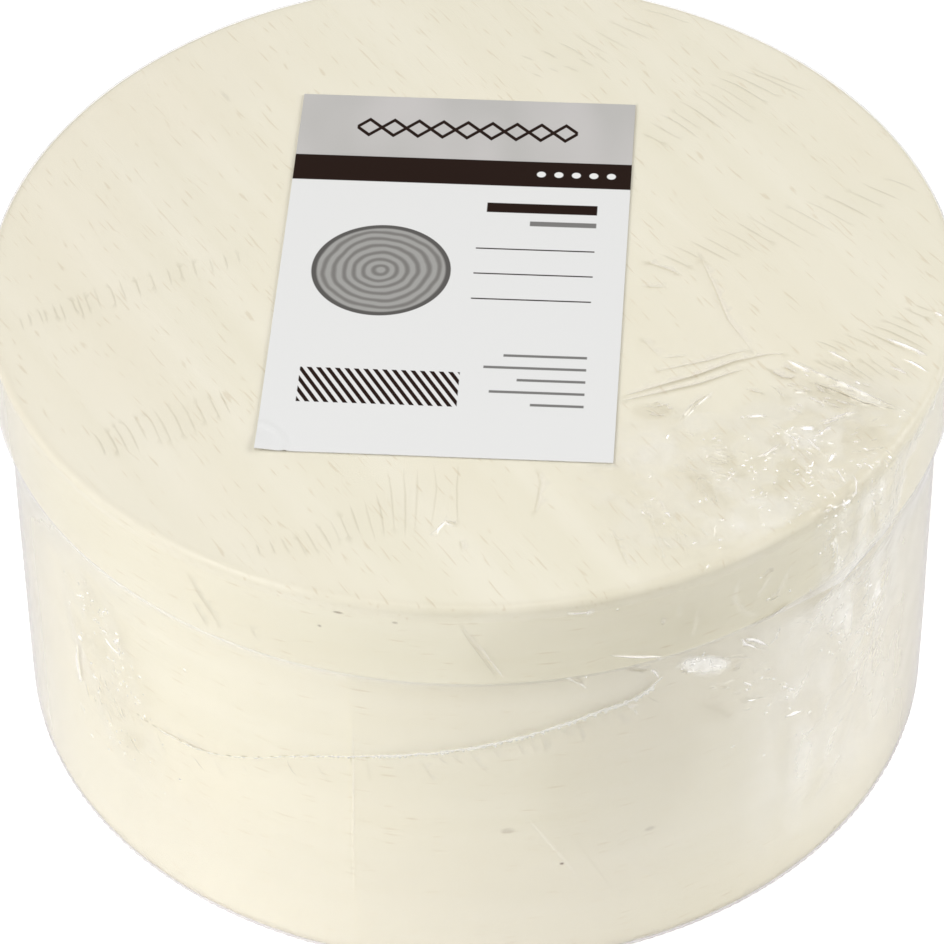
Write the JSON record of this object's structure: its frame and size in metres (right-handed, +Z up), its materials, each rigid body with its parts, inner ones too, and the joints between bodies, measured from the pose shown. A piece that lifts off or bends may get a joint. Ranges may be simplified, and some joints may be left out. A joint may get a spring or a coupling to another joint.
{
  "type": "round chipwood box set",
  "caption": "Nested round chipwood boxes with lift-off lids, each a disc in a bent and lapped band, closed in clear shrink film with a plain paper label.",
  "frame": {"origin": "on the ground, under the middle of the set", "axes": "+Z up, the way the lids lift; -Y towards the side that the film's seam crosses"},
  "size_m": [0.1314, 0.1314, 0.0692],
  "materials": {
    "disc_wood": "matte",
    "band_wood": "matte",
    "clear_film": "gloss",
    "welded_film": "gloss",
    "label_paper": "satin"
  },
  "bodies": {
    "large_box": {"large_bottom_disc": "disc_wood", "large_side_band": "band_wood", "film_side_sleeve": "clear_film", "film_bottom_sheet": "clear_film", "film_seal_bead": "welded_film"},
    "middle_box": {"middle_bottom_disc": "disc_wood", "middle_side_band": "band_wood"},
    "small_box": {"small_bottom_disc": "disc_wood", "small_side_band": "band_wood"},
    "small_lid": {"small_lid_disc": "disc_wood", "small_lid_band": "band_wood"},
    "middle_lid": {"middle_lid_disc": "disc_wood", "middle_lid_band": "band_wood"},
    "large_lid": {"large_lid_disc": "disc_wood", "large_lid_band": "band_wood"},
    "film_cap": {"film_cap": "clear_film", "label": "label_paper"}
  },
  "joints": [
    {"name": "middle_box_lift", "type": "slide", "parent": "large_box", "child": "middle_box", "axis": [0, 0, 1], "range_m": [0, 0.07]},
    {"name": "small_box_lift", "type": "slide", "parent": "middle_box", "child": "small_box", "axis": [0, 0, 1], "range_m": [0, 0.06]},
    {"name": "small_lid_lift", "type": "slide", "parent": "small_box", "child": "small_lid", "axis": [0, 0, 1], "range_m": [0, 0.04]},
    {"name": "middle_lid_lift", "type": "slide", "parent": "small_lid", "child": "middle_lid", "axis": [0, 0, 1], "range_m": [0, 0.04]},
    {"name": "large_lid_lift", "type": "slide", "parent": "middle_lid", "child": "large_lid", "axis": [0, 0, 1], "range_m": [0, 0.045]},
    {"name": "film_cap_lift", "type": "slide", "parent": "large_lid", "child": "film_cap", "axis": [0, 0, 1], "range_m": [0, 0.045]}
  ]
}
